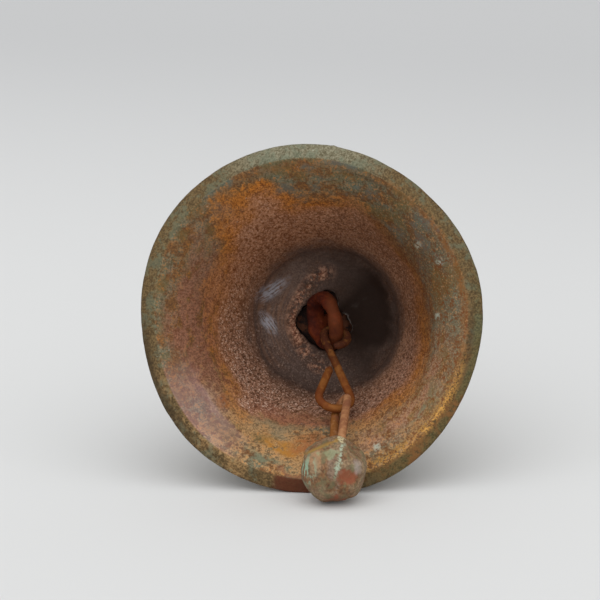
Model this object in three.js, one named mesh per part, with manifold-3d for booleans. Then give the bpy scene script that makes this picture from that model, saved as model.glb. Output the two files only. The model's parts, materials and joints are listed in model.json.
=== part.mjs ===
// A bronze hand bell lying on its side, mouth forward, its clapper drawn out over the lower lip.
// Millimetres. +Z is up and +Y runs from the mouth to the handle.
// The bell, its tang and its handle share one axis. Along it, depth is counted from the mouth's plane.
import * as THREE from 'three';
import { mergeVertices } from 'three/addons/utils/BufferGeometryUtils.js';
import Module from 'manifold-3d';

const wasm = await Module();
wasm.setup();

// Cast bell
const mouthRadius = 45;
const lipWidth = 4;
const lipLandWidth = 1.2;
const lipBevelDepth = 1.5;
const lipEdgeThickness = 2.4;
const lipEdgeTaper = 0.75;
const insideDepth = 58;
const shoulderRadius = 20.2;
const shoulderCorner = 4;
const flareShare = 0.24;
const flarePower = 5;
const wall = 3.1;
const soundBow = 2;
const soundBowReach = 5;
const crownThickness = 4;
const crownOuterCorner = 7;
const mouldingHeight = 0.8;
const mouldingWidth = 2;
const mouldingDepths = [23, 26.6, 49];
const crownHoleRadius = 8.7;

// Iron tang with its forged eye
const tangRadius = 2.5;
const eyeRodDiameter = 3.4;
const eyeOpening = 10;
const eyeStandOff = 3.98;
const eyeTurn = THREE.MathUtils.degToRad(28);
const eyeLean = THREE.MathUtils.degToRad(12);
const headRadius = 4.4;
const headFlatRadius = 3;
const headThickness = 1.8;

// Plate, washer and handle
const plateRadius = 12.6;
const plateThickness = 2.4;
const washerRadius = 5.6;
const washerThickness = 1.2;
const handleLength = 92;
const collarRadius = 12;
const collarWidth = 3.8;
const neckRadius = 5.6;
const neckAt = 11;
const beadRadius = 7.9;
const beadWidth = 4.4;
const gripRadius = 8.6;
const pommelRadius = 9.6;
const pommelLength = 14;

// Clapper: wire hook, doubled wire eye and ball
const wireDiameter = 2.2;
const upperLoopRadius = 3.4;
const lowerLoopRadius = 4.4;
const hookSpan = 24.7;
const upperTail = 2.2;
const lowerTail = 11;
const lowerTailLean = THREE.MathUtils.degToRad(15);
const hookSideways = 0.05;
const eyeLoopRadius = 2.9;
const eyeTwist = THREE.MathUtils.degToRad(16);
const eyeSlack = 1.5;
const legSpacing = 3.4;
const legDepth = 4.6;
const ballRadius = 8.4;
const ballSideways = 7;

// Clearances
const seatGap = 0.3;
const restGap = 0.4;
const eyeSideGap = 0.48;
const boreClearance = 0.3;

const bellSegments = 48;
const handleSegments = 32;
const ironSegments = 24;
const dropStep = 0.002;

const bronze = { color: 0x7a6a48, roughness: 0.75, metalness: 0.6 };
const iron = { color: 0x6e3a1e, roughness: 0.9, metalness: 0.3 };

const vec = (x, y, z) => new THREE.Vector3(x, y, z);

// A closed geometry as a solid that can be joined and cut, and back again.
function solidOf(geometry) {
  const plain = new THREE.BufferGeometry();
  plain.setAttribute('position', geometry.getAttribute('position'));
  plain.setIndex(geometry.getIndex());
  const merged = mergeVertices(plain, 1e-4);
  return new wasm.Manifold(new wasm.Mesh({
    numProp: 3,
    vertProperties: new Float32Array(merged.getAttribute('position').array),
    triVerts: new Uint32Array(merged.getIndex().array),
  }));
}

function geometryOf(solid) {
  const mesh = solid.getMesh();
  const geometry = new THREE.BufferGeometry();
  geometry.setAttribute('position', new THREE.BufferAttribute(mesh.vertProperties, 3));
  geometry.setIndex(new THREE.BufferAttribute(mesh.triVerts, 1));
  geometry.computeVertexNormals();
  return geometry;
}

// A turned shape about the bell's axis, from points of radius and depth. One facet faces down.
function turned(points, segments) {
  const profile = points.map(([radius, depth]) => new THREE.Vector2(radius, depth));
  return new THREE.LatheGeometry(profile, segments, Math.PI / segments);
}

// A round wire along a curve through points.
function wire(points, radius, steps, sides) {
  const path = new THREE.CatmullRomCurve3(points, false, 'centripetal');
  const section = new THREE.Shape();
  for (let i = 0; i < sides; i += 1) {
    const angle = (2 * Math.PI * i) / sides;
    section[i ? 'lineTo' : 'moveTo'](radius * Math.cos(angle), radius * Math.sin(angle));
  }
  return new THREE.ExtrudeGeometry(section, { steps, extrudePath: path, bevelEnabled: false });
}

// Evenly spaced values from one end to the other, both included.
function spread(from, to, count) {
  return Array.from({ length: count }, (_, i) => from + ((to - from) * i) / (count - 1));
}

// Bell profile: the inner wall flares towards the mouth, and the outer wall follows it.
const wallDepth = insideDepth - shoulderCorner;
const lipRidgeRadius = mouthRadius - lipWidth;

function innerRadius(depth) {
  const rise = Math.max(0, 1 - depth / wallDepth);
  const flare = (1 - flareShare) * rise + flareShare * rise ** flarePower;
  return shoulderRadius + (lipRidgeRadius - shoulderRadius) * flare;
}

const lipBack = lipBevelDepth + lipEdgeThickness;

function outerRadius(depth) {
  const bow = soundBow * Math.exp(-(depth - lipBack) / soundBowReach);
  return innerRadius(depth) + wall + bow;
}

const crownTop = insideDepth + crownThickness;

function bellProfile() {
  const inner = spread(wallDepth, 1.6, 11).map((depth) => [innerRadius(depth), depth]);
  const shoulder = spread(0, Math.PI / 2, 4).slice(0, 3).map((angle) => [
    shoulderRadius - shoulderCorner * (1 - Math.sin(angle)),
    insideDepth - shoulderCorner * (1 - Math.cos(angle)),
  ]);
  const outerWallEnd = crownTop - crownOuterCorner;
  const outer = spread(lipBack + 1.8, outerWallEnd, 10).map((depth) => [outerRadius(depth), depth]);
  const mouldings = mouldingDepths.flatMap((depth) => [
    [outerRadius(depth - mouldingWidth / 2), depth - mouldingWidth / 2],
    [outerRadius(depth - mouldingWidth / 4) + mouldingHeight, depth - mouldingWidth / 4],
    [outerRadius(depth + mouldingWidth / 4) + mouldingHeight, depth + mouldingWidth / 4],
    [outerRadius(depth + mouldingWidth / 2), depth + mouldingWidth / 2],
  ]);
  const bare = outer.filter(([, depth]) => mouldingDepths.every(
    (moulding) => Math.abs(depth - moulding) > mouldingWidth * 0.8,
  ));
  const outside = [...bare, ...mouldings].sort((a, b) => a[1] - b[1]);
  const endRadius = outerRadius(outerWallEnd);
  const outerShoulder = spread(0, Math.PI / 2, 4).slice(1).map((angle) => [
    endRadius - crownOuterCorner * (1 - Math.cos(angle)),
    outerWallEnd + crownOuterCorner * Math.sin(angle),
  ]);
  return [
    [0, insideDepth],
    ...shoulder,
    ...inner,
    [lipRidgeRadius - lipLandWidth * 0.2, 0.5],
    [lipRidgeRadius, 0],
    [lipRidgeRadius + lipLandWidth, 0],
    [mouthRadius, lipBevelDepth],
    [mouthRadius - lipEdgeTaper, lipBack],
    ...outside,
    ...outerShoulder,
    [0, crownTop],
  ];
}

// Ragged hole in the crown: a rounded diamond with an uneven edge.
function crownHoleRadiusAt(angle) {
  const diamond = 1 - 0.13 * Math.sin(2 * angle) ** 2;
  return crownHoleRadius * (diamond + 0.05 * Math.sin(3 * angle + 1) + 0.03 * Math.sin(5 * angle + 2));
}

function bellBody() {
  const outline = new THREE.Shape();
  spread(0, 2 * Math.PI, 25).slice(0, 24).forEach((angle, i) => {
    const radius = crownHoleRadiusAt(angle);
    outline[i ? 'lineTo' : 'moveTo'](radius * Math.cos(angle), radius * Math.sin(angle));
  });
  const cutter = new THREE.ExtrudeGeometry(outline, { depth: 4 * crownThickness, bevelEnabled: false });
  cutter.rotateX(Math.PI / 2);
  cutter.translate(0, insideDepth + 3 * crownThickness, 0);
  return geometryOf(solidOf(turned(bellProfile(), bellSegments)).subtract(solidOf(cutter)));
}

// Stack on the tang: crown, plate, handle, washer, hammered head.
const plateFrom = crownTop + seatGap;
const handleFrom = plateFrom + plateThickness + seatGap;
const washerFrom = handleFrom + handleLength + seatGap;
const headFrom = washerFrom + washerThickness + seatGap;
const boreRadius = tangRadius + boreClearance;

function ring(outer, from, thickness, edge) {
  return turned([
    [boreRadius, from],
    [outer - edge, from],
    [outer, from + edge],
    [outer, from + thickness - edge],
    [outer - edge, from + thickness],
    [boreRadius, from + thickness],
    [boreRadius, from],
  ], ironSegments);
}

// Eye of the tang: a round ring, turned from the bell's axis and leaning a little to the left.
// Its back stands off the plate that closes the crown.
const eyeRingRadius = (eyeOpening + eyeRodDiameter) / 2;
const eyeReach = eyeRingRadius * Math.cos(eyeTurn) + eyeRodDiameter / 2;
const eyeCentre = vec(0, plateFrom - eyeStandOff - eyeReach, 0);
const leaning = (x, y) => vec(x * Math.cos(eyeLean), y, x * Math.sin(eyeLean));
const eyeForward = leaning(Math.sin(eyeTurn), -Math.cos(eyeTurn));
const eyeNormal = leaning(Math.cos(eyeTurn), Math.sin(eyeTurn));

function tang() {
  const eye = new THREE.TorusGeometry(eyeRingRadius, eyeRodDiameter / 2, 8, 28);
  eye.applyQuaternion(new THREE.Quaternion().setFromUnitVectors(vec(0, 0, 1), eyeNormal));
  eye.translate(...eyeCentre.toArray());
  const back = eyeCentre.clone().addScaledVector(eyeForward, -eyeRingRadius);
  const straightFrom = crownTop - tangRadius * 0.6;
  const neck = wire([
    back,
    vec(back.x * 0.7, (back.y * 2 + straightFrom) / 3, back.z * 0.7),
    vec(0, straightFrom, 0),
    vec(0, straightFrom + tangRadius, 0),
  ], tangRadius * 0.86, 6, 10);
  const rod = turned([
    [0, straightFrom - tangRadius * 0.5],
    [tangRadius * 0.7, straightFrom - tangRadius * 0.3],
    [tangRadius, straightFrom + tangRadius * 0.3],
    [tangRadius, headFrom],
    [headRadius, headFrom],
    [headRadius, headFrom + headThickness * 0.4],
    [headFlatRadius, headFrom + headThickness],
    [0, headFrom + headThickness],
  ], ironSegments);
  return geometryOf(solidOf(eye).add(solidOf(neck)).add(solidOf(rod)));
}

// Turned handle, from its base: collar, neck, bead, swelling grip, bead and pommel.
function handleProfile() {
  const beadFrom = neckAt + 2;
  const gripFrom = beadFrom + beadWidth;
  const pommelFrom = handleLength - pommelLength;
  const upperBeadFrom = pommelFrom - beadWidth - 1;
  const bead = (from) => [
    [neckRadius, from],
    [beadRadius - 0.5, from + beadWidth * 0.2],
    [beadRadius, from + beadWidth * 0.4],
    [beadRadius, from + beadWidth * 0.6],
    [beadRadius - 0.5, from + beadWidth * 0.8],
    [neckRadius, from + beadWidth],
  ];
  const grip = spread(0, 1, 9).slice(1, -1).map((share) => [
    neckRadius + (gripRadius - neckRadius) * Math.sin(Math.PI * share ** 0.9) ** 0.8,
    gripFrom + (upperBeadFrom - gripFrom) * share,
  ]);
  const pommel = spread(-0.8, 1.05, 8).map((angle) => [
    pommelRadius * Math.cos(angle),
    pommelFrom + pommelLength * ((angle + 0.8) / 1.85),
  ]);
  return [
    [collarRadius - 1, 0],
    [collarRadius, 1],
    [collarRadius, collarWidth - 1],
    [collarRadius - 1.4, collarWidth],
    [neckRadius + (collarRadius - neckRadius) * 0.3, collarWidth + (neckAt - collarWidth) * 0.4],
    [neckRadius, neckAt],
    ...bead(beadFrom),
    ...grip,
    ...bead(upperBeadFrom),
    ...pommel,
  ].map(([radius, along]) => [radius, handleFrom + along]);
}

function handle() {
  const outside = handleProfile();
  return turned([
    [boreRadius, handleFrom],
    ...outside,
    [boreRadius, handleFrom + handleLength],
    [boreRadius, handleFrom],
  ], handleSegments);
}

// The bell lies on its lip and on the first point of the handle that comes down to the floor.
const lipFlat = mouthRadius * Math.cos(Math.PI / bellSegments);
const handleFlatness = Math.cos(Math.PI / handleSegments);
const dip = Math.min(...handleProfile().map(([radius, depth]) => Math.atan(
  (lipFlat - radius * handleFlatness) / (depth - lipBevelDepth),
)));
const axisHeight = lipBevelDepth * Math.sin(dip) + lipFlat * Math.cos(dip);

// The ball lies on the floor and against the lip.
function ballCentre() {
  let below = lipRidgeRadius;
  let depth = -ballRadius;
  for (let i = 0; i < 40; i += 1) {
    const fromAxis = Math.hypot(ballSideways, below);
    const reach = ballRadius + seatGap + 0.1;
    depth = -Math.sqrt(Math.max(0, reach ** 2 - (lipRidgeRadius - fromAxis) ** 2));
    below = (axisHeight - ballRadius - depth * Math.sin(dip)) / Math.cos(dip);
  }
  return vec(ballSideways, depth, -below);
}

const ball = ballCentre();

// The hook hangs in the tang's eye and lies down until its lower loop is close above the inner wall.
function hookAt(drop) {
  const along = vec(hookSideways, -Math.cos(drop), -Math.sin(drop)).normalize();
  const inPlane = along.clone().addScaledVector(eyeNormal, -along.dot(eyeNormal)).normalize();
  const bearing = eyeCentre.clone().addScaledVector(inPlane, eyeRingRadius);
  const side = eyeNormal.clone().cross(inPlane).cross(along).normalize();
  if (side.x < 0) side.negate();
  const seat = (eyeRodDiameter + wireDiameter) / 2 + seatGap;
  const upper = bearing.clone().addScaledVector(along, upperLoopRadius - seat);
  const lower = upper.clone().addScaledVector(along, hookSpan);
  return { along, side, upper, lower };
}

function onHook(hook, centre, radius, angle) {
  return centre.clone()
    .addScaledVector(hook.side, radius * Math.cos(angle))
    .addScaledVector(hook.along, radius * Math.sin(angle));
}

// The doubled wire hangs on the hook's lower loop, just clear of the loop's right side.
const hookBearingAngle = Math.acos(1 - (wireDiameter + eyeSideGap) / lowerLoopRadius);

// It runs from there to the ball: a narrow loop, then two legs.
function doubledWire(hook) {
  const bearing = onHook(hook, hook.lower, lowerLoopRadius, hookBearingAngle);
  const shankAxis = ball.clone().sub(bearing).normalize();
  const hookTangent = vec(0, 0, 0)
    .addScaledVector(hook.side, -Math.sin(hookBearingAngle))
    .addScaledVector(hook.along, Math.cos(hookBearingAngle));
  const eyeAcross = shankAxis.clone().cross(hookTangent).applyAxisAngle(shankAxis, -eyeTwist).normalize();
  const eyeTop = bearing.clone()
    .addScaledVector(shankAxis, eyeLoopRadius - wireDiameter - seatGap - eyeSlack);
  const shankLength = ball.distanceTo(eyeTop);
  const onShank = (along, across) => (
    eyeTop.clone().addScaledVector(shankAxis, along).addScaledVector(eyeAcross, across)
  );
  const half = legSpacing / 2;
  const free = shankLength - ballRadius;
  const narrowing = [[0.1, 0.95], [0.23, 0.7], [0.4, 0.4], [0.6, 0.15], [0.87, 0]]
    .map(([share, width]) => [free * share, half + (eyeLoopRadius - half) * width]);
  const legs = [...narrowing, [free + legDepth, half]];
  const limb = (sign) => legs.map(([along, across]) => onShank(along, sign * across));
  const loop = spread(Math.PI, 0, 9).map((angle) => (
    onShank(-eyeLoopRadius * Math.sin(angle), eyeLoopRadius * Math.cos(angle))
  ));
  const points = [...limb(-1).reverse(), ...loop, ...limb(1)];
  return { points, shankAxis, shankLength, onShank, hookBearing: bearing, eyeAcross, eyeTop };
}

// Gap between a wire and the bell's inner wall.
function wallGap(point) {
  if (point.y < 0) return Infinity;
  return innerRadius(point.y) - Math.hypot(point.x, point.z) - wireDiameter / 2;
}

function clearOfWall(hook) {
  const loop = spread(0, Math.PI, 9).map((angle) => onHook(hook, hook.lower, lowerLoopRadius, angle));
  const path = new THREE.CatmullRomCurve3(doubledWire(hook).points, false, 'centripetal');
  return [...loop, ...path.getPoints(60)].every((point) => wallGap(point) > restGap);
}

// Hook and doubled wire lie down together until one of them is close above the inner wall.
function restingHook() {
  let drop = 0;
  while (drop < Math.PI / 2 && clearOfWall(hookAt(drop + dropStep))) drop += dropStep;
  return hookAt(drop);
}

const hook = restingHook();
const doubled = doubledWire(hook);

// Both loops are joined by a straight shank that crosses from one side to the other.
function hookPoints() {
  const lean = Math.asin((upperLoopRadius + lowerLoopRadius) / hookSpan);
  const upperEnd = Math.PI * 2.36;
  const upperArc = spread(Math.PI - lean, upperEnd, 13)
    .map((angle) => onHook(hook, hook.upper, upperLoopRadius, angle));
  const tailDirection = vec(0, 0, 0)
    .addScaledVector(hook.side, -Math.sin(upperEnd))
    .addScaledVector(hook.along, Math.cos(upperEnd));
  const tail = upperArc.at(-1).clone().addScaledVector(tailDirection, upperTail);
  const lowerArc = spread(-lean, Math.PI + lowerTailLean, 13)
    .map((angle) => onHook(hook, hook.lower, lowerLoopRadius, angle));
  const tip = lowerArc.at(-1).clone()
    .addScaledVector(hook.side, lowerTail * Math.sin(lowerTailLean))
    .addScaledVector(hook.along, -lowerTail * Math.cos(lowerTailLean));
  const shank = spread(0, 1, 4).slice(1, -1)
    .map((share) => upperArc[0].clone().lerp(lowerArc[0], share));
  const tailing = spread(0, 1, 3).slice(1).map((share) => lowerArc.at(-1).clone().lerp(tip, share));
  return [tail, ...upperArc.reverse(), ...shank, ...lowerArc, ...tailing];
}

function clapperBall() {
  const sphere = new THREE.SphereGeometry(ballRadius, 22, 14);
  sphere.rotateX(Math.PI / 2);
  sphere.translate(...ball.toArray());
  let solid = solidOf(sphere);
  const socketLength = legDepth + seatGap + ballRadius;
  [-1, 1].forEach((sign) => {
    const socket = new THREE.CylinderGeometry(
      wireDiameter / 2 + boreClearance,
      wireDiameter / 2 + boreClearance,
      socketLength,
      10,
    );
    socket.applyQuaternion(new THREE.Quaternion().setFromUnitVectors(vec(0, 1, 0), doubled.shankAxis));
    const middle = doubled.shankLength - 2 * ballRadius + socketLength / 2;
    socket.translate(...doubled.onShank(middle, (sign * legSpacing) / 2).toArray());
    solid = solid.subtract(solidOf(socket));
  });
  return geometryOf(solid);
}

// The parts, placed about the bell's axis, which is then dipped so that lip, pommel and ball lie at z = 0.
const bell = new THREE.Group();

function place(name, geometry, finish) {
  const mesh = new THREE.Mesh(geometry, new THREE.MeshStandardMaterial(finish));
  mesh.name = name;
  bell.add(mesh);
}

place('bell_body', bellBody(), bronze);
place('tang', tang(), iron);
place('crown_plate', ring(plateRadius, plateFrom, plateThickness, 0.4), iron);
place('handle', handle(), bronze);
place('end_washer', ring(washerRadius, washerFrom, washerThickness, 0.3), iron);
place('clapper_hook', wire(hookPoints(), wireDiameter / 2, 56, 8), iron);
place('clapper_eye', wire(doubled.points, wireDiameter / 2, 40, 8), iron);
place('clapper_ball', clapperBall(), { ...bronze, color: 0x86684e });

bell.rotation.x = -dip;
bell.position.z = axisHeight;
bell.updateMatrixWorld(true);

// The origin is on the floor, under the middle of the whole.
const box = new THREE.Box3().setFromObject(bell, true);
bell.position.x = -(box.min.x + box.max.x) / 2;
bell.position.y = -(box.min.y + box.max.y) / 2;
bell.position.z -= box.min.z;

const part = new THREE.Group();
part.add(bell);
part.updateMatrixWorld(true);

export default part;
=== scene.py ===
"""A bronze hand bell on its side, finished over its packed construction. Metres, +Z up, +Y to the handle."""
import json
from functools import partialmethod
from math import acos, asin, cos, exp, pi, radians, sin, tau

import bmesh
import bpy
from mathutils import Matrix, Vector


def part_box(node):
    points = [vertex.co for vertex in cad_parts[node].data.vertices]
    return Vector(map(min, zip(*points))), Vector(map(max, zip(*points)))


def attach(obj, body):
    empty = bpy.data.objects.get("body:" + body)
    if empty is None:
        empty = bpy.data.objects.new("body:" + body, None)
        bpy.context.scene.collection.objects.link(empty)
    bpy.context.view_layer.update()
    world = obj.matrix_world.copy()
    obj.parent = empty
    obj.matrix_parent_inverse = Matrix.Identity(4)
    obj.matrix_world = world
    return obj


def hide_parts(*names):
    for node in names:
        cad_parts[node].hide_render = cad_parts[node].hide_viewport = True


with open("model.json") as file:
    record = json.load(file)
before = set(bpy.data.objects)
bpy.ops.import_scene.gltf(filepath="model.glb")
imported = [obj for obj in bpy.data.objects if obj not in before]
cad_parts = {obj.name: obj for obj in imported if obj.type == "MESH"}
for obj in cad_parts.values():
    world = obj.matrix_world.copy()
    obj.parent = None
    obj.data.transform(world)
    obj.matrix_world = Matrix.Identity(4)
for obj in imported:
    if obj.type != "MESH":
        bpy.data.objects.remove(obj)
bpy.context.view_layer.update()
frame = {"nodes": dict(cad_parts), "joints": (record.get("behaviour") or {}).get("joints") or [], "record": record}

scene = bpy.context.scene
joints = {joint["name"]: joint for joint in frame["joints"]}

# Where the bell lies
# Bell, plate, tang and handle share one axis, which dips because the bell lies on its lip and its pommel.
# Each piece is shaped upright about that axis, with depth counted from the mouth's plane, and then laid.
bell_axis = Vector(frame["record"]["mounts"][0]["axis"])
eye_centre = Vector(joints["hook_swing"]["pos_m"])
casting_depths = [(v.co - eye_centre).dot(bell_axis) for v in frame["nodes"]["bell_body"].data.vertices]
mouth_centre = eye_centre + bell_axis * min(casting_depths)
dip = asin(-bell_axis.z)
laid = Matrix.Translation(mouth_centre) @ Matrix.Rotation(-dip, 4, "X")
unlaid = laid.inverted()

# Camera
# The photograph looks down into the mouth from in front. The bell points a little to the right of the
# line of sight, so more shows of the inside of its left wall.
camera_distance = 0.65
camera_yaw = radians(5.1)
camera_rise = radians(0.4)
pixels_per_radian = 2513
picture_width = 600
mouth_pixel = (309.5, 319.4)


def placed(name, data):
    """A new object in the scene."""
    made = bpy.data.objects.new(name, data)
    scene.collection.objects.link(made)
    return made


look = Vector((-sin(camera_yaw) * cos(camera_rise), cos(camera_yaw) * cos(camera_rise), sin(camera_rise)))
look = laid.to_3x3() @ look
level = laid.to_3x3() @ Vector((cos(camera_yaw), sin(camera_yaw), 0))
eye_point = mouth_centre - look * camera_distance
across = (picture_width / 2 - mouth_pixel[0]) / pixels_per_radian
upward = (mouth_pixel[1] - picture_width / 2) / pixels_per_radian
look = (look + level * across + level.cross(look) * upward).normalized()
level = (level - look * level.dot(look)).normalized()

camera_data = bpy.data.cameras.new("camera")
camera_data.sensor_width = 36
camera_data.lens = camera_data.sensor_width * pixels_per_radian / picture_width
camera_data.clip_end = 20
camera = placed("camera", camera_data)
turn = Matrix((level, level.cross(look), -look)).transposed()
camera.matrix_world = Matrix.Translation(eye_point) @ turn.to_4x4()
scene.camera = camera


# Bell casting
# One thick casting of bronze with a flared, bevelled lip and three turned mouldings. The crown inside has a
# ragged hole that the tang's eye fills. Its rim is worn uneven, and its skin is still rough from the sand.
class Socket:
    """An output socket of a node tree. Sums written with it become Math nodes."""

    def __init__(self, graph, plug):
        self.graph = graph
        self.plug = plug

    def math(self, operation, *others):
        return self.graph.math(operation, self, *others)

    def __rsub__(self, other):
        return self.graph.math("SUBTRACT", other, self)

    def __rtruediv__(self, other):
        return self.graph.math("DIVIDE", other, self)

    __add__ = __radd__ = partialmethod(math, "ADD")
    __mul__ = __rmul__ = partialmethod(math, "MULTIPLY")
    __sub__ = partialmethod(math, "SUBTRACT")
    __truediv__ = partialmethod(math, "DIVIDE")


class Graph:
    """A node tree for a shape or a material."""

    def __init__(self, tree):
        self.tree = tree

    def fill(self, node, sockets):
        """Fills a node's input sockets with values or links."""
        for key, value in sockets.items():
            if isinstance(value, Socket):
                self.tree.links.new(value.plug, node.inputs[key])
            else:
                node.inputs[key].default_value = value

    def add(self, kind, settings=None, sockets=None, output=0):
        """Adds a node, sets it, fills its sockets, and gives one of its outputs, if it has any."""
        node = self.tree.nodes.new(kind)
        for name, value in (settings or {}).items():
            setattr(node, name, value)
        self.fill(node, sockets or {})
        return Socket(self, node.outputs[output]) if len(node.outputs) else None

    def math(self, operation, *values):
        return self.add("ShaderNodeMath", {"operation": operation}, dict(enumerate(values)))

    def other(self, socket, name):
        return Socket(self, socket.plug.node.outputs[name])

    def parts(self, vector):
        x = self.add("ShaderNodeSeparateXYZ", {}, {0: vector})
        return x, self.other(x, "Y"), self.other(x, "Z")

    def joined(self, x, y, z):
        return self.add("ShaderNodeCombineXYZ", {}, {0: x, 1: y, 2: z})

    def vector(self, operation, *vectors, scale=None, output=0):
        values = dict(enumerate(vectors))
        if scale is not None:
            values["Scale"] = scale
        return self.add("ShaderNodeVectorMath", {"operation": operation}, values, output)

    def mark(self, name):
        """The number that a shape's points carry under a name."""
        return self.add("GeometryNodeInputNamedAttribute", {"data_type": "FLOAT"}, {"Name": name})

    def noise(self, place, size, seed=0.0, detail=2.0, roughness=0.5):
        """Cloudy values about 0.5, with lumps of that size."""
        sockets = {"Vector": place, "W": seed, "Scale": 1 / size, "Detail": detail, "Roughness": roughness}
        return self.add("ShaderNodeTexNoise", {"noise_dimensions": "4D"}, sockets)

    def cells(self, place, size):
        """Distance to the nearest of scattered points, 0 at a point."""
        return self.add("ShaderNodeTexVoronoi", {}, {"Vector": place, "Scale": 1 / size})

    def step(self, value, low, high, start=0.0, end=1.0):
        """Rises smoothly from start to end as the value goes from low to high."""
        sockets = {"Value": value, "From Min": low, "From Max": high, "To Min": start, "To Max": end}
        return self.add("ShaderNodeMapRange", {"interpolation_type": "SMOOTHSTEP"}, sockets)

    def hump(self, value, middle, reach):
        """1 at the middle and 0 beyond its reach on both sides."""
        return self.step((value - middle).math("ABSOLUTE"), reach, 0.0)

    def mix(self, share, first, second):
        """Blends two colours, each a link or a web colour."""
        first, second = (colour(tone) if isinstance(tone, str) else tone for tone in (first, second))
        return self.add("ShaderNodeMix", {"data_type": "RGBA"}, {0: share, 6: first, 7: second}, 2)

    def coats(self, tone, *coats):
        """Lays coats of colour over a tone in turn, each after the share that it covers."""
        for share, cover in coats:
            tone = self.mix(share, tone, cover)
        return tone

    def bump(self, strength, distance, height):
        return self.add("ShaderNodeBump", {}, {"Strength": strength, "Distance": distance, "Height": height})

    def pushed(self, geometry, height, along=None, **values):
        """Moves a surface by a height, along its normals or another direction."""
        push = self.vector("SCALE", along or self.add("GeometryNodeInputNormal"), scale=height)
        return self.add("GeometryNodeSetPosition", {}, {"Geometry": geometry, "Offset": push, **values})


def colour(code):
    """Linear red, green, blue and alpha of a web colour."""
    shares = [int(code[i:i + 2], 16) / 255 for i in (1, 3, 5)]
    return [*(((share + 0.055) / 1.055) ** 2.4 for share in shares), 1.0]


def added(sockets):
    first, *rest = sockets
    return sum(rest, first)


def off_axis(x, z):
    """Distance from the axis, from the two distances across it."""
    return (x * x + z * z).math("SQRT")


def shape_graph(name, *labels):
    """A geometry tree with inputs of those names, and its input sockets by name."""
    tree = bpy.data.node_groups.new(name, "GeometryNodeTree")
    tree.interface.new_socket("Geometry", in_out="INPUT", socket_type="NodeSocketGeometry")
    for label in labels:
        kind = "Int" if label in ("Segments", "Sides") else "Float"
        tree.interface.new_socket(label, in_out="INPUT", socket_type="NodeSocket" + kind)
    tree.interface.new_socket("Material", in_out="INPUT", socket_type="NodeSocketMaterial")
    tree.interface.new_socket("Geometry", in_out="OUTPUT", socket_type="NodeSocketGeometry")
    graph = Graph(tree)
    entry = graph.add("NodeGroupInput").plug.node
    return graph, {plug.name: Socket(graph, plug) for plug in entry.outputs if plug.name}


def end_shape(graph, given, geometry):
    """Ends a tree with smooth shading, real faces and the material, and gives it back."""
    smooth = graph.add("GeometryNodeSetShadeSmooth", {}, {"Geometry": geometry})
    real = graph.add("GeometryNodeRealizeInstances", {}, {"Geometry": smooth})
    painted = graph.add("GeometryNodeSetMaterial", {}, {"Geometry": real, "Material": given["Material"]})
    graph.add("NodeGroupOutput", {}, {0: painted})
    return graph.tree


def plain(source):
    """The plain mesh of an object with its modifiers. The object is removed."""
    bpy.context.view_layer.update()
    depsgraph = bpy.context.evaluated_depsgraph_get()
    mesh = bpy.data.meshes.new_from_object(source.evaluated_get(depsgraph), depsgraph=depsgraph)
    bpy.data.objects.remove(source)
    return mesh


def grown(name, points, *steps, closed=False, **marks):
    """The plain mesh that trees make from a line of points, with a number at each point for each mark."""
    line = bpy.data.meshes.new(name)
    edges = [(i, i + 1) for i in range(len(points) - 1)]
    if closed:
        edges.append((len(points) - 1, 0))
    line.from_pydata([(*point, 0)[:3] for point in points], edges, [])
    for mark, numbers in marks.items():
        line.attributes.new(mark, "FLOAT", "POINT").data.foreach_set("value", numbers)
    source = placed(name, line)
    for tree, values in steps:
        modifier = source.modifiers.new(tree.name, "NODES")
        modifier.node_group = tree
        for item in tree.interface.items_tree:
            if item.in_out == "INPUT" and item.name in values:
                modifier[item.identifier] = values[item.name]
    return plain(source)


def faced_out(mesh):
    """Turns every face of a closed mesh outwards."""
    work = bmesh.new()
    work.from_mesh(mesh)
    bmesh.ops.remove_doubles(work, verts=work.verts, dist=1e-7)
    bmesh.ops.recalc_face_normals(work, faces=work.faces)
    work.to_mesh(mesh)
    work.free()


def finished_piece(name, mesh, body, slot, *nodes):
    """Lays a mesh shaped about the bell's axis in its place, as a piece that stands for CAD nodes."""
    faced_out(mesh)
    mesh.name = name
    mesh.transform(laid)
    for vertex in mesh.vertices:
        vertex.co.z = max(vertex.co.z, 0.0)
    piece = placed(name, mesh)
    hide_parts(*nodes)
    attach(piece, body)


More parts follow.
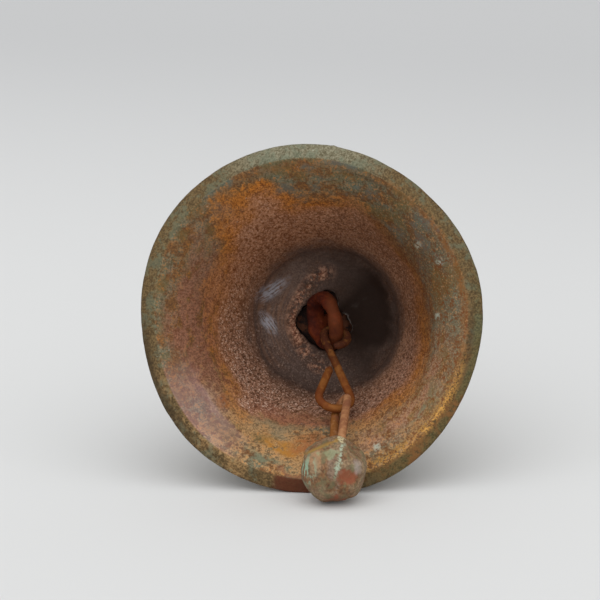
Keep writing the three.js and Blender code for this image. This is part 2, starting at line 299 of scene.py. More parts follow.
def turned_tree():
    """Sweeps an outline of radius and depth round the axis, with lumps and grain on its surface."""
    g, given = shape_graph(
        "turned", "Segments", "Lump Size", "Lump Height", "Grain Size", "Grain Height", "Seed")
    outline = given["Geometry"]
    rows = g.add("GeometryNodeAttributeDomainSize", {"component": "MESH"}, {0: outline})
    segments = given["Segments"] * 1.0
    grid = g.add("GeometryNodeMeshGrid", {}, {
        "Size X": segments, "Size Y": rows - 1, "Vertices X": segments + 1, "Vertices Y": rows,
    })
    here = g.add("GeometryNodeInputPosition")
    x, y, _ = g.parts(here)
    row = (y + (rows - 1) / 2).math("ROUND")
    angle = (x / segments + 0.5) * tau

    def at_row(kind, value):
        return g.add("GeometryNodeSampleIndex", {"data_type": kind}, {0: outline, 1: value, "Index": row})

    marked = grid
    for name in ("inside", "lip"):
        marked = g.add("GeometryNodeStoreNamedAttribute", {"data_type": "FLOAT"}, {
            0: marked, "Name": name, "Value": at_row("FLOAT", g.mark(name)),
        })
    radius, depth, _ = g.parts(at_row("FLOAT_VECTOR", here))
    around = g.joined(radius * angle.math("COSINE"), depth, radius * angle.math("SINE"))
    swept = g.add("GeometryNodeSetPosition", {}, {"Geometry": marked, "Position": around})
    closed = g.add("GeometryNodeMergeByDistance", {}, {"Geometry": swept, "Distance": 1e-6})
    lumps = (g.noise(here, given["Lump Size"], given["Seed"]) - 0.5) * given["Lump Height"]
    grain = (g.noise(here, given["Grain Size"], given["Seed"], 1.0) - 0.5) * given["Grain Height"]
    return end_shape(g, given, g.pushed(closed, (lumps + grain) * 2))


turned = turned_tree()


def turning(segments, lumps, grain, seed, material):
    """The step that turns an outline into a piece. Lumps and grain are a size and a height each."""
    return turned, {
        "Segments": segments, "Lump Size": lumps[0], "Lump Height": lumps[1],
        "Grain Size": grain[0], "Grain Height": grain[1], "Seed": seed, "Material": material,
    }


mouth_radius = 0.045
ridge_radius = 0.041
lip_land = 0.0012
bevel_depth = 0.0015
lip_edge = 0.0024
edge_taper = 0.00075
inside_depth = 0.058
crown_thickness = 0.004
shoulder_radius = 0.0202
shoulder_corner = 0.0055
crown_corner = 0.007
wall = 0.0031
sound_bow = 0.002
sound_bow_reach = 0.005
flare_share = 0.24
flare_power = 5
moulding_height = 0.0008
moulding_width = 0.002
moulding_depths = (0.023, 0.0266, 0.049)
hole_radius = 0.0087
hole_chamfer = 0.0006
ridge_drop = 0.00012
edge_ease = 0.0003
outline_gap = 0.0005
lip_gap = 0.00045
outside_gap = 0.0008

wall_depth = inside_depth - shoulder_corner
crown_top = inside_depth + crown_thickness
lip_back = bevel_depth + lip_edge


def inner_radius(depth):
    rise = max(0.0, 1 - depth / wall_depth)
    flare = (1 - flare_share) * rise + flare_share * rise ** flare_power
    return shoulder_radius + (ridge_radius - shoulder_radius) * flare


def outer_radius(depth):
    return inner_radius(depth) + wall + sound_bow * exp(-(depth - lip_back) / sound_bow_reach)


def moulding(depth):
    """Height of the turned rings above the plain wall."""
    nearest = min(abs(depth - middle) for middle in moulding_depths)
    return moulding_height * max(0.0, 1 - (2 * nearest / moulding_width) ** 2) ** 0.5


def spread(start, end, count):
    return [start + (end - start) * i / (count - 1) for i in range(count)]


def evened(points, gap):
    """Points at even gaps along a line of points, which rounds its sharp corners a little."""
    line = [Vector(p) for p in points]
    lengths = [0.0]
    for first, second in zip(line, line[1:]):
        lengths.append(lengths[-1] + (second - first).length)
    count = max(2, round(lengths[-1] / gap) + 1)
    made, part = [], 0
    for target in spread(0.0, lengths[-1], count):
        while part < len(line) - 2 and lengths[part + 1] < target:
            part += 1
        share = (target - lengths[part]) / max(1e-12, lengths[part + 1] - lengths[part])
        made.append(line[part].lerp(line[part + 1], min(1.0, share)))
    return made


outer_from = lip_back + 0.0018
outer_end = crown_top - crown_corner
inside_line = evened([
    (hole_radius, crown_top - hole_chamfer),
    (hole_radius, inside_depth + hole_chamfer),
    (hole_radius + hole_chamfer, inside_depth),
    *((shoulder_radius - shoulder_corner * (1 - sin(a)), inside_depth - shoulder_corner * (1 - cos(a)))
      for a in spread(0, pi / 2, 8)),
    *((inner_radius(depth), depth) for depth in spread(wall_depth, 0.0014, 60)[1:]),
    (ridge_radius - lip_land * 0.25, 0.0006),
    (ridge_radius, ridge_drop),
], outline_gap)
lip_line = evened([
    (ridge_radius, ridge_drop),
    (ridge_radius + lip_land * 0.3, 0),
    (ridge_radius + lip_land, 0.0001),
    (mouth_radius - 0.0004, bevel_depth - 0.0002),
    (mouth_radius, bevel_depth + edge_ease),
], lip_gap)[1:]
outside_line = evened([
    (mouth_radius, bevel_depth + edge_ease),
    (mouth_radius - edge_taper, lip_back),
    *((outer_radius(depth) + moulding(depth), depth) for depth in spread(outer_from, outer_end, 240)),
    *((outer_radius(outer_end) - crown_corner * (1 - cos(a)), outer_end + crown_corner * sin(a))
      for a in spread(0, pi / 2, 10)[1:]),
    (hole_radius + hole_chamfer, crown_top),
    (hole_radius, crown_top - hole_chamfer),
], outside_gap)[1:]
bell_line = inside_line + lip_line + outside_line

# Waves round the bell: how many there are, how high, and the direction of one crest in degrees.
rim_waves = ((1, 0.00021, 120), (2, 0.00063, -137), (3, 0.00024, 45), (4, 0.00016, 107), (5, 0.00026, 51))
hole_waves = ((4, 0.0007, 8), (2, 0.0004, 60), (5, 0.0003, 24))
rim_reach = 0.022
worn_angle = 70
worn_height = 0.0007
tongue_angle = 26
tongue_height = 0.0036
tear_height = 0.0022
pit_depth = 0.00028
grit_height = 0.00022
crust_height = 0.0022
crust_reach = 0.0028


def beside_hole(g, radius, left):
    """Distance from the crest of the low crust that lies on the left of the crown's hole."""
    return radius - g.step(left, -0.95, 0.05, hole_radius + 0.0009, hole_radius + 0.0048)


def casting_tree():
    """Warps the turned bell: a worn, uneven rim, a ragged crown hole, sand grain and a few pits."""
    g, given = shape_graph("uneven_casting", "Seed")
    here = g.add("GeometryNodeInputPosition")
    x, depth, z = g.parts(here)
    radius = off_axis(x, z)
    angle = z.math("ARCTAN2", x)

    def waves(terms):
        return added((angle * count - radians(crest)).math("COSINE") * high for count, high, crest in terms)

    shift = waves(rim_waves) * g.step(depth, rim_reach, 0.0)
    off_worn = angle - radians(worn_angle)
    worn = g.step(off_worn * off_worn, radians(11) ** 2, 0.0)
    behind = g.step(depth, bevel_depth + 0.0001, lip_back - 0.0006) * g.step(depth, 0.011, lip_back)
    front = g.step(depth, bevel_depth + 0.0008, 0.0) * g.step(radius, ridge_radius + 0.001, mouth_radius)
    shift = shift + worn * (behind * worn_height * 0.8 - front * worn_height)
    at_crown = g.step(depth, inside_depth - 0.003, inside_depth - 0.0005)
    near_hole = g.step(radius, 0.016, hole_radius) * at_crown
    from_tongue = (angle - radians(tongue_angle)).math("ABSOLUTE")
    ragged = waves(hole_waves) - g.step(from_tongue, radians(64), radians(14)) * tongue_height
    torn = (g.noise(here, 0.003, given["Seed"], 3.0) - 0.5) * tear_height
    shift = shift + near_hole * (ragged + torn - 0.0005)
    warped = g.pushed(given["Geometry"], shift, g.joined(x / radius, 0.0, z / radius))
    inside = g.mark("inside")
    pitted = g.step(g.noise(here, 0.02, 5.0), 0.5, 0.62)
    pits = g.step(g.cells(here, 0.0042), 0.16, 0.03) * -pit_depth * pitted
    grit = (g.noise(here, 0.0011, 3.0, 2.0) - 0.5) * grit_height * (inside * 0.8 + 0.4)
    left = x / radius
    crust = g.hump(beside_hole(g, radius, left), 0.0, crust_reach) * at_crown
    crust = crust * g.step(left, 0.2, -0.25) * g.step(z / radius, -0.9, -0.5)
    swell = crust * g.step(g.noise(here, 0.0019, 7.0, 3.0), 0.36, 0.64) * -crust_height * inside
    offset = g.vector("SCALE", g.add("GeometryNodeInputNormal"), scale=pits + grit)
    offset = g.vector("ADD", offset, g.joined(0.0, swell, 0.0))
    return end_shape(g, given, g.add("GeometryNodeSetPosition", {}, {"Geometry": warped, "Offset": offset}))


def finish_graph(name):
    """A new material, its graph and its surface shader."""
    material = bpy.data.materials.new(name)
    material.use_nodes = True
    surface = material.node_tree.nodes["Principled BSDF"]
    return material, Graph(material.node_tree), surface


def laid_place(graph):
    """Object coordinates turned back to the bell's own axes."""
    raw = graph.other(graph.add("ShaderNodeTexCoord"), "Object")
    sockets = {"Vector": raw, "Location": mouth_centre, "Rotation": (-dip, 0, 0)}
    return graph.add("ShaderNodeMapping", {"vector_type": "TEXTURE"}, sockets)


def bell_bronze():
    """Dry verdigris and brown patina, an orange ring where water stood, a dark gritty throat, worn edges."""
    material, g, surface = finish_graph("bell_bronze")
    place = laid_place(g)
    x, depth, z = g.parts(place)
    radius = off_axis(x, z)
    inside, lip = (
        g.other(g.add("ShaderNodeAttribute", {"attribute_name": mark}), "Fac") for mark in ("inside", "lip"))

    clouds = g.noise(place, 0.012, 1.0, 3.0)
    blotches = g.noise(place, 0.0045, 2.0, 4.0, 0.6)
    drifts = g.noise(place, 0.0075, 10.0, 3.0, 0.55)
    fine_place = g.joined(x, depth * (1 - inside * 0.55), z)
    specks = g.noise(fine_place, 0.0011, 3.0, 3.0, 0.65)
    grit = g.noise(fine_place, 0.0005, 4.0, 2.0, 0.7)

    def speckled(value, share):
        return value + (specks - 0.5) * share

    sand = g.step(speckled(grit, 0.5), 0.32, 0.68)
    gravel = g.step(g.noise(fine_place, 0.00062, 6.0, 2.0, 0.7), 0.42, 0.58)
    band = depth + (clouds - 0.5) * 0.022 + (blotches - 0.5) * 0.012

    def grained(dark, pale):
        return g.mix(sand, dark, pale)

    def side(degrees):
        """1 straight on that side of the bell, seen from the mouth, and -1 on the far side."""
        return (x * cos(radians(degrees)) + z * sin(radians(degrees))) / radius

    def towards(degrees, reach, soft=None):
        """1 on that side of the bell and 0 past its reach, which are both angles."""
        return g.step(side(degrees), cos(radians(reach)), cos(radians(reach - (soft or reach))))

    def patch(degrees, reach, middle, deep):
        return towards(degrees, reach) * g.hump(band, middle, deep)

    def oval(across_by, above, lean, long, wide):
        """1 in an uneven leaning oval on the crown, and 0 outside it."""
        dx, dz = x - across_by, z - above
        lean_x, lean_z = cos(radians(lean)), sin(radians(lean))
        along = (dx * lean_x + dz * lean_z) / long
        beside = (dz * lean_x - dx * lean_z) / wide
        far = off_axis(along, beside) + (blotches - 0.5) * 1.6
        streaks = speckled(g.noise(g.joined(along * 1.6, beside * 5.0, 0.0), 1.0, 8.0, 3.0, 0.6), 0.5)
        return g.step(far, 1.3, 0.3) * g.step(depth, 0.046, 0.051) * g.step(streaks, 0.36, 0.58)

    # The flare, from its brown ground up: verdigris, a reddish left, a tan bottom, drifts and loose specks.
    verdigris = grained("#54543F", "#7C826E")
    brown = grained("#61432A", "#865E36")
    green_share = g.step(speckled(blotches, 0.6), 0.38, 0.6)
    left = towards(188, 62) * g.step(band, 0.001, 0.01) * g.step(blotches, 0.34, 0.52)
    low = towards(268, 75) * g.step(specks + (clouds - 0.5) * 0.8, 0.38, 0.55)
    blue_green = g.step(speckled(drifts, 0.3), 0.46, 0.36) * towards(70, 110)
    embers = g.step(speckled(grit, 0.4), 0.48, 0.4) * towards(-8, 75)
    flare = g.coats(
        brown,
        (green_share * 0.85, verdigris),
        (left * 0.85, grained("#704530", "#9E6B55")),
        (low * 0.85, grained("#7C5E3C", "#CCA270")),
        (patch(318, 44, 0.01, 0.01) * g.step(blotches, 0.4, 0.55), grained("#7C5840", "#B28A6E")),
        (towards(42, 45) * g.step(band, 0.0, 0.006) * 0.3, "#3A3322"),
        (g.step(speckled(drifts, 0.3), 0.5, 0.62) * (0.5 - left * 0.4), "#695A33"),
        (blue_green * (0.55 - left * 0.3), "#5F6B64"),
        (g.step(speckled(grit, 0.8), 0.57, 0.66) * (0.6 - left * 0.35), "#A86A2E"),
        (embers * 0.6, "#84471F"),
        (g.step(grit, 0.58, 0.68) * towards(-8, 85) * 0.4, "#BCA284"),
    )

    # The orange ring starts at a depth that changes round the bell. The throat lies past it.
    ring_from = sum((towards(degrees, reach) * deeper for degrees, reach, deeper in (
        (185, 62, 0.0095), (318, 62, 0.005), (22, 48, 0.0085), (122, 20, -0.008), (92, 20, 0.002),
        (264, 34, 0.013),
    )), 0.0128)
    past_edge = band - ring_from
    ring = g.step(speckled(past_edge, 0.012), -0.0036, 0.003) * g.step(past_edge, 0.0135, 0.0035)
    ring = ring * (0.45 + towards(112, 45) * 0.5 + towards(-18, 60) * 0.25 - towards(264, 40) * 0.3)
    ring = ring * g.step(drifts, 0.3, 0.55, 0.55, 1.0)
    high = g.step(z / radius, -0.55, 0.35)
    warm = towards(135, 60) * g.step(band, 0.05, 0.03)
    throat_dark = g.coats("#50301E", (high * 0.45, "#7E5334"), (warm * 0.45, "#7A3F14"))
    throat = g.mix(gravel * 0.6 + sand * 0.4, throat_dark, g.mix(high * 0.5, "#B4886E", "#BE8A62"))
    points = g.step(speckled(grit, 0.3), 0.56, 0.64) * (0.25 + towards(235, 100) * 0.7)
    # Painted light: the throat is paler deep on its lower right and upper right.
    painted_light = (towards(325, 45) * 0.6 + towards(50, 45) * 0.55) * g.hump(depth, 0.045, 0.012)

    # The crown keeps faint rings from the lathe. Painted shade darkens its right side and the deep right of the
    # throat.
    turned_rings = g.noise(g.joined(radius * 1.4, x * 0.1, z * 0.1), 0.0011, 7.0, 2.0)
    crown = g.coats(
        "#2E211B",
        (sand * 0.25 + blotches * 0.6, "#7C6A62"),
        (g.step(turned_rings, 0.44, 0.6) * towards(180, 60) * 0.5, "#85644F"),
        (towards(265, 80) * 0.35, "#2C2422"),
    )
    crown_share = g.step(depth + (blotches - 0.5) * 0.024 + (gravel - 0.5) * 0.004, 0.041, 0.0585)
    deep = depth + (clouds - 0.5) * 0.01
    deep = g.step(deep, 0.043, 0.068).math("MAXIMUM", g.step(deep, 0.0535, 0.0575))
    # Painted shade: the crown's right side and the deep right of the throat are darkened.
    right_painted_shade = g.step(side(20), -0.25, 0.75) * deep * (1 - towards(80, 40) * 0.35)
    # Painted highlight: two pale streaky patches on the crown's left shoulder stand in for sheen, partly smoother
    # worn metal.
    painted_sheen = oval(-0.0153, 0.0088, 36, 0.0054, 0.0021) + oval(-0.0165, -0.001, -55, 0.0042, 0.0018)
    left_side = x / radius
    rim_crust = g.hump(beside_hole(g, radius, left_side), 0.0, 0.0034) * g.step(depth, 0.0535, 0.0565)
    broken = g.step(specks + (blotches - 0.5) * 0.8, 0.42, 0.58)
    rim_crust = rim_crust * g.step(left_side, 0.25, -0.2) * broken
    # Painted shade: the wall of the crown's hole is nearly black.
    painted_hole_shade = g.step(depth, inside_depth + 0.0004, inside_depth + 0.001)
    # Painted highlight: pale grey along the upper right edge of the crown's hole.
    hole_edge_highlight = towards(28, 62) * g.hump(depth, inside_depth + 0.0005, 0.00045)
    hole_edge_highlight = hole_edge_highlight * g.step(blotches + (grit - 0.5) * 0.5, 0.42, 0.54)

    ochre = patch(256, 12, 0.0135, 0.0055) * g.step(specks, 0.34, 0.48)
    orange = patch(268, 11, 0.0155, 0.0045) + patch(222, 5, 0.016, 0.006)
    grey_green = patch(252, 12, 0.003, 0.0045) + patch(322, 14, 0.006, 0.005)
    inside_tone = g.coats(
        flare,
        (g.step(past_edge + (gravel - 0.5) * 0.003, 0.001, 0.009), throat),
        (ring, grained("#703B10", "#C27A30")),
        (patch(260, 34, 0.0275, 0.008) * 0.75, grained("#6E3E30", "#A06A54")),
        # Painted shade: the throat is darker towards its upper right.
        (towards(30, 68) * g.step(band, 0.012, 0.022) * 0.45, "#4A2B16"),
        (painted_light, g.mix(gravel, "#7A5640", "#B48A6C")),
        (crown_share * 0.92, crown),
        (points * g.step(past_edge, 0.003, 0.012) * (1 - crown_share * 0.93), "#DCC0AC"),
        (patch(249, 17, 0.0215, 0.0045) * 0.6, grained("#6E6750", "#8F866C")),
        (patch(219, 11, 0.0105, 0.0065) * 0.65, grained("#8A7262", "#B09684")),
        (towards(219, 27) * g.step(band, 0.0125, 0.008) * 0.28, "#B49598"),
        (ochre * 0.85, "#A87328"),
        (orange * g.step(specks, 0.36, 0.52) * 0.7, "#94562F"),
        (grey_green * green_share * 0.75, "#75775F"),
        (patch(264, 9, 0.0008, 0.0025) * 0.7, "#7A4A36"),
        (painted_sheen * 0.85, "#A0A1A9"),
        (right_painted_shade, "#22130A"),
        (rim_crust * 0.9, g.mix(gravel, "#70432F", "#C4967A")),
        (painted_hole_shade * inside, "#0E0706"),
        (hole_edge_highlight * inside * 0.8, "#A8A39E"),
    )

    # The outside is verdigris over brown, with rubbed rings between darker grooves.
    def near_rings(reach):
        return added(g.hump(depth, middle, reach) for middle in moulding_depths)

    rings = near_rings(moulding_width * 0.35)
    outer_tone = g.coats(
        brown,
        (g.step(speckled(blotches + (clouds - 0.5) * 0.6, 0.35), 0.36, 0.64), verdigris),
        (rings * g.step(blotches, 0.42, 0.6) * 0.8, "#A07A44"),
        (near_rings(moulding_width) * (1 - rings) * 0.6, "#46382A"),
    )

    # The lip is pale above, tan at the lower left, olive at the lower right and dark red-brown at the bottom under
    # the ball.
    beyond = g.step(radius, ridge_radius + 0.0008, ridge_radius + 0.0022)
    lip_tone = g.coats(
        grained("#45351F", "#6C5838"),
        (towards(92, 34), grained("#544D38", "#85806A")),
        (towards(232, 42) * g.step(speckled(clouds, 0.6), 0.36, 0.56), grained("#644A2E", "#997A50")),
        (g.step(speckled(blotches, 0.5), 0.46, 0.6) * 0.45, "#5C6654"),
        (towards(318, 42) * g.step(specks, 0.36, 0.54) * 0.75, "#7A5029"),
        (towards(330, 58) * beyond * g.step(blotches, 0.36, 0.54) * 0.75, grained("#38351C", "#5E5836")),
        (towards(202, 28) * beyond * 0.6 + towards(344, 22) * (1 - beyond) * 0.45, "#2C2213"),
        (towards(271, 15, 3) * g.step(specks, 0.3, 0.42) * 0.9, "#562A18"),
    )

    # Bare gilt metal and a broken brown line along the ridge, and pale flecks of lime.
    edge = g.hump(speckled(radius, 0.003), ridge_radius - 0.0002, 0.0021) * g.step(depth, 0.005, 0.0015)
    gilt = edge * towards(-48, 42) * g.step(grit + (blotches - 0.5) * 0.7, 0.42, 0.6)
    line = g.hump(radius + (blotches - 0.5) * 0.003, ridge_radius - 0.0006, 0.0016)
    line = line * g.step(depth, 0.005, 0.002) * (towards(20, 62) + towards(110, 40) * 0.7) * broken
    fleck = g.step(g.cells(place, 0.0031), 0.09, 0.04) * g.step(g.noise(place, 0.012, 9.0), 0.5, 0.6) * 0.6
    fleck = fleck * g.step(depth, 0.036, 0.03)
    for degrees, at in ((35.3, 0.0115), (24, 0.0065), (1.6, 0.0145), (-62.7, 0.0065)):
        fleck = fleck + towards(degrees, 2.0) * g.hump(depth, at, 0.0028) * g.step(specks, 0.42, 0.56)
    tone = g.coats(
        outer_tone,
        (inside, inside_tone),
        (lip, lip_tone),
        (gilt * 0.9, "#BE8C44"),
        (line * 0.7, "#87562A"),
        (fleck * 0.9, "#A9AFA0"),
    )
    relief = g.bump(0.45, 0.0005, blotches * 0.4 + specks * 0.5 + grit * 0.4)
    g.fill(surface, {
        "Base Color": tone, "Roughness": 0.84 - gilt * 0.4 - painted_sheen * 0.3 - specks * 0.1,
        "Metallic": gilt * 0.6, "Normal": relief, "Specular IOR Level": 0.22,
    })
    return material


inside_marks = [1.0] * len(inside_line) + [0.0] * (len(lip_line) + len(outside_line))
lip_marks = [0.0] * len(inside_line) + [1.0] * len(lip_line) + [0.0] * len(outside_line)
bell_finish = bell_bronze()
bell_mesh = grown(
    "bell_line", bell_line, turning(320, (0.012, 0.00022), (0.003, 0.00006), 1.0, bell_finish),
    (casting_tree(), {"Seed": 2.0, "Material": bell_finish}), inside=inside_marks, lip=lip_marks)
finished_piece("bell_casting", bell_mesh, "bell", "bell_bronze", "bell_body")


# Clapper hook
# Iron wire of about 2 mm, bent by hand into an S. Its closed upper loop hangs in the tang's eye and its open
# lower loop holds the clapper. It is rusted all over.
def wire_tree():
    """A round wire along a line of points, lumpy with rust, with closed ends."""
    g, given = shape_graph("wire", "Radius", "Sides", "Step", "Rust Size", "Rust Height", "Seed")
    line = g.add("GeometryNodeMeshToCurve", {}, {"Mesh": given["Geometry"]})
    fine = g.add("GeometryNodeResampleCurve", {"mode": "LENGTH"}, {"Curve": line, "Length": given["Step"]})
    section = g.add("GeometryNodeCurvePrimitiveCircle", {}, {"Resolution": given["Sides"], "Radius": 1.0})
    tube = g.add("GeometryNodeCurveToMesh", {}, {
        "Curve": fine, "Profile Curve": section, "Fill Caps": True,
        "Scale": g.mark("thick") * given["Radius"],
    })
    here = g.add("GeometryNodeInputPosition")
    rust = (g.noise(here, given["Rust Size"], given["Seed"], 3.0, 0.6) - 0.5) * given["Rust Height"] * 2
    return end_shape(g, given, g.pushed(tube, rust))


def rusty_iron(name, dark, warm, pale, point, direction, painted_side_tone):
    """Smoothly rusted iron: broad darker and warmer stretches, a fine crust and paler rubbed spots.

    What lies past the point in that direction takes the side's colour: painted light and shade on that side of the
    piece.
    """
    material, g, surface = finish_graph(name)
    place = laid_place(g)
    patches = g.noise(place, 0.0045, 11.0, 2.0, 0.5)
    crust = g.noise(place, 0.0013, 12.0, 3.0, 0.6)
    dust = g.noise(place, 0.0005, 13.0, 2.0, 0.6)
    past = g.vector("DOT_PRODUCT", g.vector("SUBTRACT", place, tuple(point)), tuple(direction), output=1)
    tone = g.coats(
        dark,
        (g.step(patches + (crust - 0.5) * 0.5, 0.32, 0.6), warm),
        (g.step(past, -0.0005, 0.002) * g.step(patches, 0.2, 0.45) * 0.9, painted_side_tone),
        (g.step(crust + (patches - 0.5) * 0.8, 0.48, 0.7) * 0.6, pale),
        (g.step(dust, 0.58, 0.74) * 0.3, pale),
    )
    relief = g.bump(0.4, 0.0004, crust + dust * 0.5)
    g.fill(surface, {
        "Base Color": tone, "Roughness": 0.9 - crust * 0.2, "Normal": relief, "Specular IOR Level": 0.25,
    })
    return material


wire_step = 0.0004


def rounded(points):
    """Even points along a line, with its bends eased as a wire's are."""
    line = evened(points, wire_step)
    for _ in range(5):
        eased = [(before + here * 2 + after) / 4 for before, here, after in zip(line, line[1:], line[2:])]
        line = [line[0], *eased, line[-1]]
    return line


wire_radius = 0.0011
upper_loop = 0.0034
lower_loop = 0.0044
hook_span = 0.0247
upper_tail = 0.0022
lower_tail = 0.011
lower_tail_lean = radians(15)
eye_ring_radius = 0.0067

eye_local = unlaid @ eye_centre
eye_normal = unlaid.to_3x3() @ Vector(joints["hook_swing"]["axis"])
lower_centre = unlaid @ Vector(joints["clapper_swing"]["pos_m"])
hook_along = (lower_centre - eye_local).normalized()
for _ in range(8):  # The hook pulls on the side of the eye's ring that it points to, so both settle together.
    in_plane = (hook_along - eye_normal * hook_along.dot(eye_normal)).normalized()
    hook_along = (lower_centre - eye_local - in_plane * eye_ring_radius).normalized()
hook_side = hook_along.cross(unlaid.to_3x3() @ Vector(joints["clapper_swing"]["axis"])).normalized()
if hook_side.x < 0:
    hook_side = -hook_side
upper_centre = lower_centre - hook_along * hook_span


def on_hook(centre, loop, angle):
    return centre + hook_side * (loop * cos(angle)) + hook_along * (loop * sin(angle))


hook_lean = asin((upper_loop + lower_loop) / hook_span)
upper_end = 2.36 * pi
upper_arc = [on_hook(upper_centre, upper_loop, a) for a in spread(upper_end, pi - hook_lean, 30)]
upper_tip = upper_arc[0] + (hook_side * -sin(upper_end) + hook_along * cos(upper_end)) * upper_tail
lower_arc = [on_hook(lower_centre, lower_loop, a) for a in spread(-hook_lean, pi + lower_tail_lean, 30)]
tail_along = hook_side * sin(lower_tail_lean) - hook_along * cos(lower_tail_lean)
lower_tip = lower_arc[-1] + tail_along * lower_tail
hook_line = rounded([upper_tip, *upper_arc, *lower_arc, lower_tip])


def blunt_ends(line):
    """A share of the thickness at each point, drawn in over the last three at both ends."""
    last = len(line) - 1
    return [min(1.0, 0.55 + 0.45 * min(i, last - i) / 3) for i in range(len(line))]


wire = wire_tree()


def bent_wire(name, line, thick, radius, material, sides, rust, seed, closed=False):
    """Wire along a line, with a share of its radius at each point. Rust is a size and a height."""
    return grown(name, line, (wire, {
        "Radius": radius, "Sides": sides, "Step": wire_step, "Rust Size": rust[0], "Rust Height": rust[1],
        "Seed": seed, "Material": material,
    }), closed=closed, thick=thick)


# The upper part of the hook, deep in the bell, takes a dark red side colour as painted shade.
hook_finish = rusty_iron(
    "hook_rust", "#66320F", "#784418", "#8A5826",
    upper_centre + hook_along * 0.016, -hook_along * 0.2, "#401B0B")
hook_mesh = bent_wire(
    "hook_line", hook_line, blunt_ends(hook_line), wire_radius, hook_finish, 20, (0.0018, 0.00012), 3.0)
finished_piece("hook_wire", hook_mesh, "hook", "iron_wire", "clapper_hook")


# Clapper eye
# The same wire doubled back on itself: a narrow loop round the hook, and two legs that were set in the mould
# when the ball was cast. One leg passes in front of the hook's loop and one behind it.
eye_loop = 0.0029
eye_slack = 0.0015
eye_side_gap = 0.00048
eye_twist = radians(34)
seat_gap = 0.0003
leg_spacing = 0.004
leg_depth = 0.0046
bearing_angle = acos(1 - (2 * wire_radius + eye_side_gap) / lower_loop)

ball_low, ball_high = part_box("clapper_ball")
ball_radius = (ball_high.z - ball_low.z) / 2
ball_centre = unlaid @ ((ball_low + ball_high) / 2)
bearing = on_hook(lower_centre, lower_loop, bearing_angle)
shank = (ball_centre - bearing).normalized()
hook_tangent = hook_side * -sin(bearing_angle) + hook_along * cos(bearing_angle)
eye_across = (Matrix.Rotation(-eye_twist, 3, shank) @ shank.cross(hook_tangent)).normalized()
eye_top = bearing + shank * (eye_loop - 2 * wire_radius - seat_gap - eye_slack)
free_length = (ball_centre - eye_top).length - ball_radius


def on_shank(along, across_by):
    return eye_top + shank * along + eye_across * across_by


def eye_limb(sign):
    half = leg_spacing / 2
    legs = [(free_length * share, half + (eye_loop - half) * width)
            for share, width in ((0.1, 0.95), (0.23, 0.7), (0.4, 0.4), (0.6, 0.15), (0.87, 0))]
    return [on_shank(along, sign * width) for along, width in (*legs, (free_length + leg_depth, half))]


eye_arc = [on_shank(-eye_loop * sin(a), eye_loop * cos(a)) for a in spread(pi, 0, 20)]
eye_line = rounded([*reversed(eye_limb(-1)), *eye_arc, *eye_limb(1)])
# One leg of the eye takes a darker, more orange side colour: painted shade, partly a different rust.
eye_finish = rusty_iron("eye_rust", "#84543A", "#9E6E48", "#B4845E", eye_top, eye_across, "#85521C")
eye_mesh = bent_wire(
    "eye_line", eye_line, blunt_ends(eye_line), wire_radius, eye_finish, 20, (0.0022, 0.00014), 4.0)
finished_piece("clapper_wire", eye_mesh, "clapper", "iron_wire", "clapper_eye")


# Clapper ball
# Cast bronze, lumpy, with a shoulder where the wires enter and flats where it has struck the bell. Grey-green
# and pinkish brown, with verdigris run down its left side and bare copper-red where it wore.
ball_lift = 0.0005

# The direction of each flat, and how far out it lies as a share of the radius.
ball_flats = (
    ((-0.45, -0.2, 0.87), 0.85), ((0.66, -0.3, 0.69), 0.9), ((0.42, -0.88, -0.2), 0.94),
    ((-0.72, -0.66, 0.2), 0.93), ((0.05, -0.62, -0.78), 0.95), ((0.3, 0.9, 0.3), 0.93),
    ((-0.6, 0.5, -0.6), 0.95),
)
flat_share = 0.7


def ball_tree():
    """A ball with eased flats, a raised shoulder at its top, lumps and fine pitting."""
    g, given = shape_graph("cast_ball", "Radius", "Seed")
    ball = g.add("GeometryNodeMeshIcoSphere", {}, {"Radius": given["Radius"], "Subdivisions": 7})
    here = g.add("GeometryNodeInputPosition")
    pulled = here
    for direction, share in ball_flats:
        facing = tuple(Vector(direction).normalized())
        over = g.vector("DOT_PRODUCT", here, facing, output=1) - given["Radius"] * share
        cut = g.vector("SCALE", facing, scale=over.math("MAXIMUM", 0.0) * flat_share)
        pulled = g.vector("SUBTRACT", pulled, cut)
    top = g.vector("DOT_PRODUCT", g.vector("NORMALIZE", here), tuple(-shank), output=1)
    raised = g.step(top, 0.86, 0.97) * 0.0009
    broad = (g.noise(here, 0.0075, given["Seed"], 1.0) - 0.5) * 0.0028
    small = (g.noise(here, 0.0028, given["Seed"], 3.0) - 0.5) * 0.0008
    pits = g.step(g.cells(here, 0.0026), 0.14, 0.03) * -0.00018
    return end_shape(g, given, g.pushed(ball, broad + small + pits + raised, Position=pulled))


